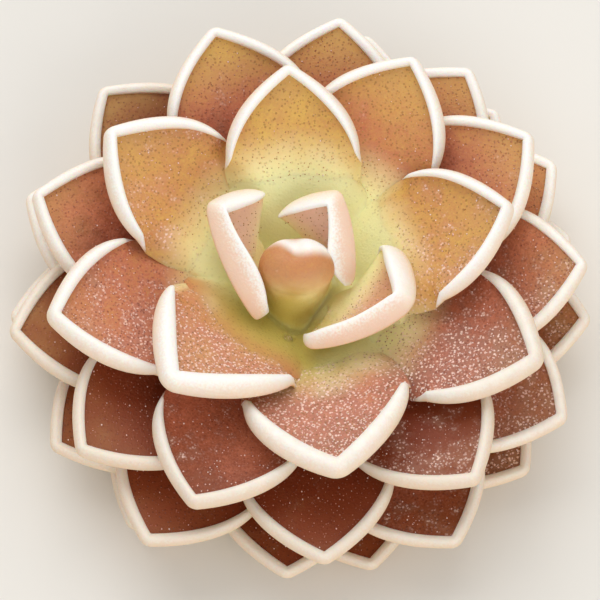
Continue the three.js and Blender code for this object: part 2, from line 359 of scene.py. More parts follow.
leaves = {age: leaf_sizes(age) for age in range(1, LEAF_COUNT)}
every_sixth = [leaves[age] for age in range(6, LEAF_COUNT, 6)]
print("tip distances of every sixth leaf from the axis, mm:", [round(leaf.reach, 1) for leaf in every_sixth])

# %% [markdown]
# ## The midrib
#
# A leaf leaves the crown steeply, bows outwards and levels off, so its midrib is a smooth curve in the
# upright plane through the axis. A cubic Bezier curve needs only its two ends and two directions. It is
# sampled finely once, and its length along the curve gives an even measure for everything on the leaf.


# %% The midrib
def midrib_of(leaf, samples=600):
    """The cubic curve (1-t)^3 P0 + 3(1-t)^2 t P1 + 3(1-t) t^2 P2 + t^3 P3, with its length and direction."""
    seat = np.array([leaf.seat_radius, leaf.seat_height])
    tip = np.array([leaf.reach, leaf.rise])
    handle = leaf.handle * np.linalg.norm(tip - seat)

    def direction(pitch):
        return np.array([math.cos(math.radians(pitch)), math.sin(math.radians(pitch))])

    leaving = seat + handle * direction(leaf.base_pitch)
    arriving = tip - handle * direction(leaf.tip_pitch)
    t = np.linspace(0, 1, samples)[:, None]
    curve = (1 - t) ** 3 * seat + 3 * (1 - t) ** 2 * t * leaving + 3 * (1 - t) * t**2 * arriving + t**3 * tip
    steps = np.hypot(*np.diff(curve, axis=0).T)
    length = np.concatenate([[0], np.cumsum(steps)])
    tangent = np.gradient(curve, length, axis=0)
    tangent /= np.linalg.norm(tangent, axis=1)[:, None]
    return SimpleNamespace(curve=curve, tangent=tangent, at=length, length=length[-1])


for leaf in leaves.values():
    leaf.rib = midrib_of(leaf)
print("midrib lengths of every sixth leaf, mm:", [round(leaf.rib.length, 1) for leaf in every_sixth])

# %% [markdown]
# ## The outline and the rolled rim
#
# Laid flat, a leaf is a rounded kite: narrow where it is seated, widest past the middle, then closing to a
# blunt point. The rim follows the edge at an even distance, so near the point its two arms meet in a sharp
# corner, the mark of this plant. That is why the surface isn't a simple stretched grid: its rows run at fixed
# distances in from the edge, and its columns run square to the edge. A straight grid would blur the corner.


# %% Half of the outline
BASE_HALF_WIDTH = {False: 2.6, True: 1.5}  # of open leaves, and of young ones
STATIONS = SimpleNamespace(base=18, side=30, tip=7)
MIDLINE_STEP = 0.03  # the least distance along the midline from one column to the next
FINE_STEPS = 2000  # for finding where the tip's arc starts


def edge_waves(leaf, seed, turn):
    """A slow unevenness of about -1 to 1 round the leaf: three sines of the turn, which runs -1 to 1."""
    phase = np.random.default_rng([seed, leaf.age]).uniform(0, 2 * math.pi, 3)
    return sum(np.sin(math.pi * count * turn + phase[count - 2]) / count for count in (2, 3, 4))


def half_outline(leaf, side):
    """Base: half width rises as sin(share)^power. Side: it falls as 1 - share^power. Tip: an arc."""
    widest = leaf.rib.length - leaf.tip_length
    share = np.linspace(0, 1, STATIONS.base)
    rise = np.sin(math.pi / 2 * share) ** leaf.base_power
    seat_w = BASE_HALF_WIDTH[leaf.young]
    base_w = seat_w + (leaf.half_width - seat_w) * rise
    u = share * widest
    base = dict(u=u, w=base_w, in_u=0 * share, in_w=0 * share - 1, depth=base_w, middle=u)

    # The arc starts where the midline is one tip radius in from the edge.
    fine = np.linspace(0.5, 1, FINE_STEPS)
    slope = -leaf.half_width * leaf.tip_power * fine ** (leaf.tip_power - 1) / leaf.tip_length
    depth = leaf.half_width * (1 - fine**leaf.tip_power) * np.hypot(1, slope)
    last = fine[depth > leaf.tip_radius][-1]

    share = np.linspace(0, last, STATIONS.side + 1)[1:]
    w = leaf.half_width * (1 - share**leaf.tip_power)
    slope = -leaf.half_width * leaf.tip_power * share ** (leaf.tip_power - 1) / leaf.tip_length
    norm = np.hypot(1, slope)
    u = widest + share * leaf.tip_length
    flank = dict(u=u, w=w, in_u=slope / norm, in_w=-1 / norm, depth=w * norm, middle=u + slope * w)

    centre = flank["u"][-1] + flank["in_u"][-1] * leaf.tip_radius
    opening = math.atan2(-flank["in_w"][-1], -flank["in_u"][-1])
    angle = np.linspace(opening, 0, STATIONS.tip + 1)[1:]
    c, s = np.cos(angle), np.sin(angle)
    radius = np.full(STATIONS.tip, leaf.tip_radius)
    arc = dict(u=centre + radius * c, w=radius * s, in_u=-c, in_w=-s, depth=radius, middle=centre + 0 * c)

    out = SimpleNamespace(**{key: np.concatenate([base[key], flank[key], arc[key]]) for key in base})
    ordered = len(out.u) - STATIONS.tip
    ramp = np.arange(ordered) * MIDLINE_STEP
    out.middle[:ordered] = np.maximum.accumulate(out.middle[:ordered] - ramp) + ramp
    out.turn = side * (1 - np.arange(len(out.u)) / (len(out.u) - 1))
    return out


half = half_outline(leaves[12], 1)
print(f"leaf 12: {len(half.u)} columns a side, {2 * half.w.max():.1f} mm wide")

# %% [markdown]
# ## How full the rim is
#
# The rim has two arms that meet in the point. On open leaves each arm keeps its thickness and then tapers out
# along the side. On the young leaves, which stand upright, each arm is a plump lens that ends in a point, and
# one of the two is often the fuller. One formula with a few numbers for each kind gives them all, and a share
# of the full size is all that the section needs to know.

# %% The arms of the rim
RIM_OVERRUN = {False: 0.8, True: 0.0}  # how far an arm runs past its reach, on open and young leaves
LONG_ARMS = {5: (0.8, -0.4), 8: (-0.7, 0.6)}  # how much further the left and the right arm of these run
ARM_SHAPE = {"young": (2.5, 1.25, 0.95), "broad": (1, 0.8, 0.9), "plain": (2.2, 0.9, 0.9)}  # p, q and s
ARM_GAIN = {"broad": 1.6, "plain": 0.5}  # g; on young leaves each arm has its own


def rim_swell(leaf, from_tip, side):
    """How full the rim is at a distance from the tip, on the left, 1, or the right, -1. It is
    (1 - t^p)^q (s + g t), with t from 0 at the tip to 1 at the arm's end."""
    on_left = np.asarray(side) > 0
    left, right = LONG_ARMS.get(leaf.age, (0, 0))
    reach = np.where(on_left, leaf.rim_left + left, leaf.rim_right + right) + RIM_OVERRUN[leaf.young]
    t = np.clip(from_tip / reach, 0, 1)
    kind = "young" if leaf.young else "broad" if leaf.age in BROAD_RIMS else "plain"
    p, q, s = ARM_SHAPE[kind]
    gain = np.where(on_left, leaf.full_left, leaf.full_right) if leaf.young else ARM_GAIN[kind]
    return (1 - t**p) ** q * (s + gain * t)


for age in (2, 5, 12):
    swell = rim_swell(leaves[age], np.array([0.0, 2.0, 4.0, 6.0]), 1)
    print(f"leaf {age}: left arm at 0, 2, 4 and 6 mm from the tip {swell.round(2)}")

# %% [markdown]
# ## The section through the edge
#
# Cut square to the edge, the leaf shows a flat underside that rounds up into a lip: over its crest, steeply
# down to a crease, and on over the flat face to the midline. The lip is full round the point and tapers out
# along the sides. Each stretch of the section is a piece of a circle or an ellipse, so only the numbers of
# rows decide how smooth it is. A field called `roll` says how far round the lip a row lies, from -1
# underneath over 0 at the outermost edge, 1 on the crest and 2 in the crease to 3 on the face, so that the
# material can colour the rim exactly. Where the lip has tapered out, towards the seat, the bare margin droops
# into the flesh below it, as leaves do that have grown together.

# %% The section's rows
ROWS = SimpleNamespace(under=5, lower_edge=7, outer=8, inner=6, face=12)
RIM_LEFT_OVER = 0.06  # share of the rim's width where it has tapered out
UNEVEN_WIDTH, UNEVEN_HEIGHT = 0.06, 0.1  # of the rim, as shares
BASE_THICKNESS = 0.62  # at the seat
FULL_THICKNESS_FROM = 4.0  # distance from there
EDGE_LEVEL = 0.05  # height of the outermost edge over the middle layer
CREST = 0.52  # share of the rim's width from the edge to the crest
INNER_WALL = 0.46  # and from the crest to the foot of its steep inner side
INNER_DROP = 0.45  # share of the rim's height that is rounded, over the steep wall
CREASE_DEPTH = 0.02  # of the crease under the face
LOWER_CURVE = 1.25  # where the underside starts to round up, in rim widths
LEVEL = SimpleNamespace(under=-1, edge=0, crest=1, crease=2, face=3)
WALL_SHARE = 0.99  # how near the foot of the steep wall comes to the crease's level
MARGIN = 2.4  # how far in the bare margin droops
DROOP = 1.1  # how far it droops at the edge
DROOPS_UNTIL = 16  # the age from which a leaf's base is out of sight and stays level
DROOP_FADES = 6  # the number of ages over which the droop fades before that
BARE_UNDER = 0.28  # fullness of the rim under which its margin droops
THIN_UNDER = {False: 0.3, True: 0.8}  # and under which it thins out, on open and young leaves
THINNED = 0.9  # how much of its thickness the bare margin loses
NARROWED = 0.55  # how much of its width a young leaf loses there
NARROW_UNDER = 0.16  # fullness of its rim under which it does


def smooth_step(value, start, end):
    """0 up to start, 1 from end on, and 3t^2 - 2t^3 between them."""
    t = np.clip((value - start) / (end - start), 0, 1)
    return t * t * (3 - 2 * t)


def droop(leaf, inwards):
    """Depth t^2 of the drooping margin, t from 0 at its inner limit to 1 at the edge, then on with even
    slope."""
    t = np.maximum(0, 1 - inwards / MARGIN)
    return DROOP * np.clip((DROOPS_UNTIL - leaf.age) / DROOP_FADES, 0, 1) * np.where(t < 1, t**2, 2 * t - 1)


def section(leaf, half, side):
    """Distances in from the edge, heights over the middle layer and roll, all rows by columns."""
    swell = rim_swell(leaf, leaf.rib.length - half.u, side)
    uneven = edge_waves(leaf, 1, half.turn)
    width = leaf.rim_width * (RIM_LEFT_OVER + (1 - RIM_LEFT_OVER) * swell) * (1 + UNEVEN_WIDTH * uneven)
    height = leaf.rim_height * swell * (1 + UNEVEN_HEIGHT * edge_waves(leaf, 2, half.turn))
    filled = np.minimum(1, half.u / FULL_THICKNESS_FROM)
    thick = (BASE_THICKNESS + (leaf.thickness - BASE_THICKNESS) * filled) / 2

    def quarter(count, first=0.0):
        """Angles over a quarter turn as a column, the first of them left out."""
        return (np.linspace(first, 1, count + 1)[1:] * math.pi / 2)[:, None]

    flat = np.linspace(1, 0, ROWS.under + 1)[:, None]
    start = np.minimum(LOWER_CURVE * width, half.depth)
    rows = [(start + (half.depth - start) * flat, -thick + 0 * flat, LEVEL.under + 0 * flat)]
    a = quarter(ROWS.lower_edge)
    up = -thick * np.cos(a) + EDGE_LEVEL * np.sin(a)
    rows.append((LOWER_CURVE * width * (1 - np.sin(a)), up, LEVEL.under + a / (math.pi / 2)))
    a = quarter(ROWS.outer)
    up = EDGE_LEVEL + (thick - EDGE_LEVEL + height) * np.sin(a)
    rows.append((CREST * width * (1 - np.cos(a)), up, LEVEL.edge + a / (math.pi / 2)))
    a = quarter(ROWS.inner)
    up = thick + height * (1 - INNER_DROP * (1 - np.cos(a)))
    rows.append((width * (CREST + INNER_WALL * np.sin(a)), up, LEVEL.crest + a / (math.pi / 2) * WALL_SHARE))
    rows.append((width[None], (thick - CREASE_DEPTH * swell)[None], np.array([[LEVEL.crease]])))
    across = np.linspace(0, 1, ROWS.face + 1)[1:, None]
    rows.append((width + (half.depth - width) * across, thick + 0 * across, LEVEL.face + 0 * across))

    shape = (sum(len(inwards) for inwards, _, _ in rows), len(half.u))
    stacked = [np.concatenate([np.broadcast_to(r[i], (len(r[0]), shape[1])) for r in rows]) for i in range(3)]
    inwards, heights, roll = stacked
    thinned = THINNED * (1 - smooth_step(swell, 0, THIN_UNDER[leaf.young]))
    thinned = thinned * np.clip(1 - inwards / MARGIN, 0, 1)
    heights = np.where(heights < thick, thick - (thick - heights) * (1 - thinned), heights)
    heights = heights - droop(leaf, inwards) * (1 - smooth_step(swell, 0, BARE_UNDER))
    narrowed = NARROWED * leaf.young * (1 - smooth_step(swell, 0, NARROW_UNDER))
    inwards = np.minimum(inwards, half.depth)
    inwards = inwards + narrowed * (half.depth - inwards)
    return SimpleNamespace(inwards=inwards, height=heights, roll=roll,
                           swell=np.broadcast_to(swell, shape), inset=inwards - width)


cut = section(leaves[12], half, 1)
print(f"{len(cut.height)} rows in a section, the lip {cut.height.max() - cut.height[-1].max():.2f} mm high")

# %% [markdown]
# ## Bending the flat leaf into place
#
# The flat leaf is bent twice: along its midrib's curve, and across it into a shallow trough, deeper in young
# leaves. Then it is turned to its place in the spiral. Both bends are written as formulas on whole arrays, so
# the same function later puts glands exactly on the surface.


# %% From the flat leaf to space
def bend(leaf, u, v, height):
    """Points at u along the midrib, v across it and a height off the middle layer. Across, the blade is an
    arc of curvature cup: sin(cup v)/cup sideways and (1 - cos(cup v))/cup up, with the height along its
    normal. A skew shifts the tip sideways by share^3, and a lean shifts it to the back by share^1.5."""
    share = np.clip(u / leaf.rib.length, 0, 1)
    x, z = (np.interp(u, leaf.rib.at, leaf.rib.curve[:, i]) for i in (0, 1))
    along_x, along_z = (np.interp(u, leaf.rib.at, leaf.rib.tangent[:, i]) for i in (0, 1))
    cup = leaf.cup * (leaf.base_cup + (1 - leaf.base_cup) * share)
    across = np.sin(cup * v) / cup - height * np.sin(cup * v) + leaf.skew * share**3
    off = (1 - np.cos(cup * v)) / cup + height * np.cos(cup * v)
    radius = x - along_z * off
    c, s = math.cos(leaf.azimuth), math.sin(leaf.azimuth)
    leaning = leaf.lean * share**1.5
    return np.stack([radius * c - across * s, radius * s + across * c + leaning, z + along_x * off], -1)


def leaf_grid(leaf):
    """The whole leaf as rows by columns, left base to tip to right base, with the fields for its material."""
    halves = []
    for side in (1, -1):
        half = half_outline(leaf, side)
        cut = section(leaf, half, side)
        on_midline = cut.inwards >= half.depth - 1e-9
        rim = leaf.rim_width
        to_middle = np.clip((cut.inwards - rim) / np.maximum(half.depth - rim, 1e-6), 0, 1)
        u = half.u + half.in_u * cut.inwards
        foot_u = half.u + half.in_u * np.minimum(cut.inwards, rim)
        u = np.where(cut.inwards > rim, foot_u + (half.middle - foot_u) * to_middle, u)
        v = half.w + half.in_w * cut.inwards
        cut.u = np.where(on_midline, half.middle, u)
        cut.v = side * np.where(on_midline, 0, v)
        halves.append(cut)
    left, right = halves

    def join(field):
        return np.concatenate([getattr(left, field), getattr(right, field)[:, -2::-1]], 1)

    grid = SimpleNamespace(**{name: join(name) for name in ("u", "v", "height", "roll", "swell", "inset")})
    grid.points = bend(leaf, grid.u, grid.v, grid.height)
    return grid


grid = leaf_grid(leaves[12])
print(f"leaf 12 as a grid: {grid.u.shape[0]} rows by {grid.u.shape[1]} columns")

# %% [markdown]
# ## From grid to mesh
#
# A grid of points becomes four-sided faces between neighbouring points. The left and the right half share
# their points on the midline, and the columns round the tip share one point, so points that coincide are
# welded afterwards. The cut base is closed by one many-sided face. The fields go along as attributes, one
# value for each point. The crease between lip and face is marked sharp by its angle, and all else is smooth.

# %% Making meshes
SHARP_ANGLE = math.radians(50)
WELD_DISTANCE = 2e-5  # millimetres


def grid_faces(rows, columns):
    """The four corner numbers of every cell of a grid whose points are numbered row by row. A cell faces the
    side from which its rows run upwards and its columns to the left."""
    first = (np.arange(rows - 1)[:, None] * columns + np.arange(columns - 1)).reshape(-1, 1)
    return first + np.array([columns, columns + 1, 1, 0])


def add_piece(name, points, faces, fields, material, nodes=()):
    """A mesh object from points in millimetres, faces and point fields, riding on the root body."""
    mesh = bpy.data.meshes.new(name)
    mesh.from_pydata(points * MM, [], faces)
    for field, values in fields.items():
        data = mesh.attributes.new(field, "FLOAT", "POINT").data
        data.foreach_set("value", np.ravel(values).astype(np.float32))
    mesh.materials.append(material)
    piece = bpy.data.objects.new(name, mesh)
    scene.collection.objects.link(piece)
    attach(piece, "root")
    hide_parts(*nodes)
    return piece


def weld(piece):
    """Joins points that coincide and smooths all but the sharp edges. Gives the volume in cubic millimetres
    and the number of open edges."""
    work = bmesh.new()
    work.from_mesh(piece.data)
    bmesh.ops.remove_doubles(work, verts=work.verts, dist=WELD_DISTANCE * MM)
    open_edges = sum(not edge.is_contiguous for edge in work.edges)
    work.to_mesh(piece.data)
    volume = work.calc_volume(signed=True) / MM**3
    work.free()
    piece.data.polygons.foreach_set("use_smooth", np.ones(len(piece.data.polygons), bool))
    piece.data.set_sharp_from_angle(angle=SHARP_ANGLE)
    return volume, open_edges


print(f"leaf 12: {len(grid_faces(*grid.u.shape))} faces between the points of its grid")

# %% [markdown]
# ## Flesh colours
#
# The flesh is pale yellow-green in the middle of the rosette, golden to salmon on the open faces and brick
# red on the lower leaves, most of all on the shaded side, where part of the red is painted shade. On the wet
# faces a pale sheen and glints are painted reflections of the light. The rim is ivory on its crest, cream
# lower down and peach where it turns under, the peach partly painted shade, and its flank is flushed pink. A
# painted image would need a flat map of every leaf. Instead all leaves use one recipe of nodes, and young,
# mature and old ones differ in a few numbers.
# Broad changes come from fields of the mesh. Fine ones, such as the clouding and the gland dots, come from
# noise in the place in space, so that where two surfaces meet they also have the same colour.

# %% Leaf flesh
GOLD = colour(222, 180, 90)
TAN = colour(208, 150, 88)
SALMON = colour(198, 116, 86)
BRICK = colour(134, 56, 26)
OLIVE = colour(208, 166, 98)
FRESH_CREAM = colour(254, 244, 182)
FRESH_OLIVE_SHADE = colour(202, 184, 96)
UNDER_GREEN = colour(196, 186, 110)
BLUSH = colour(240, 204, 180)
PEACH_AND_SHADE = colour(244, 206, 160)
CREAM = colour(246, 236, 217)
IVORY = colour(253, 250, 245)
AGED_AND_SHADED = colour(206, 180, 146)
PAINTED_GLINT = colour(250, 220, 208)
GLARE_SHEEN = colour(238, 204, 188)
OLIVE_SHADE_PLACE = (-2.2, -5.0, 8.6)  # painted shade: the fresh flesh is darkened to olive round here, in the hollow below the bud
OLIVE_SHADE_FROM, OLIVE_SHADE_TO = 7.0, 2.5  # distances from there at which it starts to be olive and is wholly so
DOT_SPACING, GLITTER_SPACING = 0.3125, 0.25
# The fields that the meshes carry. A piece without one of them has 0 there.
FLESH_FIELDS = "roll", "redness", "fresh", "tip", "golden", "pale", "bare", "blush", "wet", "plain", "flush"


def flesh_finish(graph, skin, relief):
    """What all flesh shares: moist, faintly see-through, with a fine grain."""
    sockets = {"Strength": 0.8, "Distance": 0.06 * MM, "Height": relief}
    bump = graph.node("ShaderNodeBump", {}, sockets, "Normal")
    return graph.finish(
        Base_Color=skin,
        Roughness=0.5 + (relief - 0.5) * 0.15,
        Normal=bump,
        Subsurface_Weight=0.35,
        Subsurface_Radius=(1.0, 0.5, 0.28),
        Subsurface_Scale=1.1 * MM,
        Coat_Weight=0.08,
        Coat_Roughness=0.3,
        IOR=1.38,
    )


def leaf_flesh(name, dot_strength, dot_colour):
    """Face, rim and underside told apart by the roll field, each with its own colours."""
    graph = Graph(name)
    place = graph.millimetres()
    field = SimpleNamespace(**{key: graph.attribute(key) for key in FLESH_FIELDS})
    roll = field.roll
    cloud = graph.noise(place, 0.45, 3.0) - 0.5
    blotch = graph.noise(place, 1.3, 2.0) - 0.5
    grain = graph.noise(place, 6.0, 3.0) - 0.5

    # The face runs from gold over tan and salmon to brick, then pink on young leaves and green in the middle.
    red = field.redness + cloud * 0.5 + blotch * 0.25 + grain * 0.4
    face = graph.mix(graph.step(red, 0.0, 0.35), GOLD, TAN)
    face = graph.mix(graph.step(red, 0.25, 0.65), face, SALMON)
    face = graph.mix(graph.step(red, 0.5, 1.0), face, BRICK)
    # Golden tips; on the back side this is partly painted light shining through them.
    face = graph.mix(field.golden * (1 + cloud * 2), face, OLIVE)
    # Painted shade: the fresh green darkens to olive towards the shaded hollow below the bud.
    away = graph.node("ShaderNodeVectorMath", {"operation": "DISTANCE"}, {0: place, 1: OLIVE_SHADE_PLACE}, "Value")
    green = graph.mix(graph.step(away + cloud * 4, OLIVE_SHADE_FROM, OLIVE_SHADE_TO), FRESH_CREAM, FRESH_OLIVE_SHADE)
    # The pink flush of young faces is partly their own colour and partly painted light that lifts their
    # shade.
    face = graph.mix(field.flush, face, BLUSH)
    face = graph.mix(graph.step(field.fresh + cloud * 0.3 + grain * 0.1, 0.0, 0.8), face, green)

    # Dark gland dots, and where the leaf is wet a painted glare: a pale sheen and glints of reflected light,
    # with painted shade at the glands beside them.
    dots = graph.step(graph.spots(place, 1 / DOT_SPACING) + grain * 0.1, 0.34, 0.16)
    face = graph.mix(dots * (1 - field.fresh) * (1 - field.plain) * dot_strength, face, dot_colour)
    painted_glints = graph.step(graph.spots(place, 1 / GLITTER_SPACING) + grain, 0.42, 0.2)
    painted_glare = graph.step(field.wet + cloud * 1.1 + blotch * 0.9, 0.25, 0.8)
    face = graph.mix(painted_glare * 0.14, face, GLARE_SHEEN)
    # Painted shade: dark gland dots beside the glints.
    face = graph.mix(dots * painted_glare * 0.5, face, dot_colour)
    face = graph.mix(painted_glints * painted_glare * 0.9, face, PAINTED_GLINT)

    # The rim, from peach underneath over cream to the ivory crest, with its pink flank, and browner with age.
    # The peach is partly painted shade of the lower flank, and the browning follows the redness, so on the
    # front side it is also painted shade.
    rim = graph.mix(graph.step(roll + cloud * 0.3 + grain * 0.4, -0.35, 0.25), PEACH_AND_SHADE, CREAM)
    rim = graph.mix(graph.step(roll + cloud * 0.2 + grain * 0.3, 0.0, 0.6), rim, IVORY)
    flushed = graph.step(roll + grain * 0.9, 0.8, 0.2) * graph.step(roll + grain * 0.4, -0.5, 0.1)
    rim = graph.mix(flushed * field.blush, rim, BLUSH)
    rim = graph.mix(graph.step(field.redness + blotch * 0.4, 0.35, 1.25) * 0.42, rim, AGED_AND_SHADED)
    under = graph.mix(graph.step(field.tip + cloud * 0.3, 0.0, 0.8), UNDER_GREEN, PEACH_AND_SHADE)

    # Underside, rim and face side by side, and what stands out from them.
    skin = graph.mix(graph.step(roll, -0.6, -0.2), under, rim)
    on_face = 1 - graph.step(roll, LEVEL.crease + 0.04, LEVEL.crease) * (1 - field.bare)
    skin = graph.mix(on_face, skin, face)
    skin = graph.mix(field.pale, skin, IVORY)
    relief = 0.5 + grain * 0.9 + (dots * 0.3 + painted_glints * field.wet * 0.5) * on_face
    return flesh_finish(graph, skin, relief)


YOUNG_AGES, MATURE_AGES = 10, 25  # leaves below these ages are young and mature
flesh = {
    "leaf_young": leaf_flesh("leaf_young", 0.5, colour(140, 92, 40)),
    "leaf_mature": leaf_flesh("leaf_mature", 0.45, colour(128, 56, 34)),
    "leaf_old": leaf_flesh("leaf_old", 0.45, colour(96, 40, 22)),
}


def slot_of(leaf):
    """The finish of a leaf, by its age."""
    if leaf.age < YOUNG_AGES:
        return "leaf_young"
    return "leaf_mature" if leaf.age < MATURE_AGES else "leaf_old"


for slot in flesh:
    print(f"{slot}: {sum(slot_of(leaf) == slot for leaf in leaves.values())} leaves")

# %% [markdown]
# ## How red, how fresh and how wet
#
# No two leaves of a real rosette have quite the same colour. They redden with age and light, stay
# yellow-green where they are covered, and carry dew where it settles. Painting each leaf by hand would take
# long and would have to be done again after each change of shape. Here each cause is a formula of the leaf's
# age, of the way it faces and of the place on it, and single leaves get a little more or less, one by one.
# Part of the redness is painted shade: more on the shaded front side, and on single leaves that lie deeper in
# shade, while single leaves that should look brighter get less as painted light. The results go along with
# the mesh as fields, and the flesh material reads them.

# %% Redness and freshness
OPEN_RED, YOUNG_RED = 0.1, 0.4  # the least redness of open and of young leaves
AGE_RED, AGE_RED_OVER = 0.75, 9  # how much age adds, and over how many ages most of it comes
FRONT_SHADE_RED, FRONT_RED_BY = 0.25, 12  # how much redness the shaded front side gets as painted shade, fully from this age on
REDDENED = {1: -0.1, 4: 0.08, 5: 0.12, 8: 0.08, 11: 0.12, 13: -0.12, 15: 0.12, 16: 0.3, 18: 0.12,
            20: 0.42, 23: 0.2, 24: -0.2, 29: -0.3}  # one by one: partly each leaf's own tint, partly painted shade where red is added and painted light where it is taken away
BASE_RED, TIP_RED = 1.6, 1.2  # per share of the length
BASE_RED_TO, TIP_RED_FROM = 0.8, 0.65  # shares of the length
GRADIENT_AGES = (6, 12)
FRESH_FROM, FRESH_OVER = 4.4, 4.8  # where the yellow-green starts to give way, from the axis, and how slowly
FRESHER = {4: 1.4, 5: -0.9, 6: 0.8, 7: 1.5, 8: 1.6, 9: 2.5, 10: 1.0, 11: 2.5}  # how much further on some
YOUNG_FRESH = (0.2, 0.65)  # shares of a young leaf's length
BARE_FRESH = 0.5  # how fresh a bare margin is at its edge
BARE_FRESH_INSET, BARE_FRESH_RADIUS = (0.2, 1.3), (8, 11.5)  # where that fades: in from the rim, and outwards


def leaf_redness(leaf):
    """0 is gold and 1 brick red: older leaves are redder, and those on the shaded front side get more red as
    painted shade.
    """
    ageing = 1 - math.exp(-max(0, leaf.age - 3) / AGE_RED_OVER)
    least = YOUNG_RED if leaf.young else OPEN_RED
    front = -math.sin(leaf.azimuth) * min(1, leaf.age / FRONT_RED_BY)
    return least + AGE_RED * ageing + FRONT_SHADE_RED * front + REDDENED.get(leaf.age, 0)


def gradient(leaf, share):
    """Older leaves are redder towards the base on the back side, under the next leaf's rim, and towards the
    tip on the front side. This is partly their own tint and partly painted shade.
    """
    facing = math.sin(leaf.azimuth)
    towards_base = BASE_RED * smooth_step(facing, 0, 0.8) * (BASE_RED_TO - share)
    towards_tip = TIP_RED * smooth_step(-facing, 0, 0.8) * np.maximum(0, share - TIP_RED_FROM)
    return (towards_base + towards_tip) * smooth_step(leaf.age, *GRADIENT_AGES)


def freshness(leaf, radius, share):
    """1 in the yellow-green middle and 0 on the open face: by radius, and on young leaves by share of the
    length."""
    if leaf.young:
        return 1 - smooth_step(share, *YOUNG_FRESH)
    return 1 - np.clip((radius - FRESH_FROM - FRESHER.get(leaf.age, 0)) / FRESH_OVER, 0, 1)


def bare_freshness(leaf, radius, bare, inset):
    """How fresh a bare margin is at least: all of it on young leaves, and its edge near the middle on the
    others."""
    if leaf.young:
        return bare
    near_edge = 1 - smooth_step(inset, *BARE_FRESH_INSET)
    near_middle = 1 - smooth_step(radius, *BARE_FRESH_RADIUS)
    return BARE_FRESH * bare * near_edge * near_middle


print("redness of every sixth leaf:", [round(leaf_redness(leaf), 2) for leaf in every_sixth])

# %% [markdown]
# ## Blush and dew
#
# The young leaves are flushed with pink, most of all along one of their rims, and on their faces the flush is
# partly painted light that lifts their shade. Dew gathers towards the front edge of the inner leaves in front
# and of the leaves on the right. Both could be painted on by hand, but formulas keep them even over all
# leaves. The wetness serves twice: the material paints a pale sheen and glints on wet flesh, as painted
# reflections of the light, and later it also says where the real drops sit.

# %% Blush and dew
LIT_FLUSH = {1: 0.95, 2: 0.8, 3: 0.28}  # how far a pink flush covers the face of the young leaves, partly their own pink and partly painted light on their shaded faces
ROSY_SIDE = {1: -1, 2: 1, 3: -1}  # the side of a young leaf whose rim is rosy, left 1 and right -1
OPEN_BLUSH = 0.4
YOUNG_BLUSH, ROSY_BLUSH = 0.12, 0.68  # of a young leaf's rim, and how much more on its rosy side
WET_ALL = 0.06  # how wet every face is
WET_FRONT = 1.15  # how wet the front leaves get
WET_AGE, WET_AGES = 7, 5  # at which age most, and over how many ages round it
WET_RIGHT_BY = 12  # the age from which the right side is fully wet
FRONT_TURN, RIGHT_TURN = 0.3, 0.15  # angles between these sides and the wettest ones


def rim_blush(leaf, v):
    """How rosy the rim's flank is: one even tint on open leaves, and mostly on one side of young ones."""
    if not leaf.young:
        return OPEN_BLUSH
    return YOUNG_BLUSH + ROSY_BLUSH * smooth_step(v * ROSY_SIDE[leaf.age], -0.8, 0.8)


def wetness_and_glare(leaf, y):
    """How wet a place is, 0 to 1, which is also how much painted glare the material gives it: on inner leaves
    of the front, and on leaves of the right side, where it keeps closer to the front edge of each. f runs
    from 0 at a leaf's back to 1 at its front."""
    of_that_age = math.exp(-(((leaf.age - WET_AGE) / WET_AGES) ** 2))
    front = (0.5 - 0.5 * math.sin(leaf.azimuth + FRONT_TURN)) * of_that_age
    right = max(0, math.cos(leaf.azimuth + RIGHT_TURN)) ** 2 * min(1, leaf.age / WET_RIGHT_BY)
    f = (y.max() - y) / np.ptp(y)
    wet_front = WET_FRONT * front * (0.4 + 0.6 * f**1.4)
    wet_right = right * (0.15 + 0.85 * f**2.4)
    return np.minimum(1, WET_ALL + wet_front + wet_right)


print("wetness at the front edge of every sixth leaf:",
      [round(float(wetness_and_glare(leaf, np.array([0, 1]))[0]), 2) for leaf in every_sixth])

# %% [markdown]
# ## The leaves
#
# Now each leaf is one object: its grid of points, the faces between them, one many-sided face over the cut
# base, and its fields. A single mesh for all leaves would be as quick to make, but separate objects stay
# separate pieces, as they are on the plant, and each stands for its own solid.

# %% The leaves
BARE_TO = {False: (0.0, 0.14), True: (0.1, 0.2)}  # fullness of the rim from which it's pale, and quite pale
BLUSH_FROM = (0.4, 1.1)  # and over which the blush comes in
GOLDEN, BACK_TIP_LIGHT = 0.4, 0.35  # how golden the tips are, and how much more on the lit back side, as painted light shining through the tips
GOLDEN_FROM = 0.62  # share of the length
YOUNG_PLAIN = 0.8  # how far the gland dots fade from young faces


def cut_end(rows, columns):
    """The many-sided face over the first and last columns of a grid."""
    up = [row * columns for row in range(rows)]
    return (up + [row * columns + columns - 1 for row in range(rows - 2, 0, -1)])[::-1]


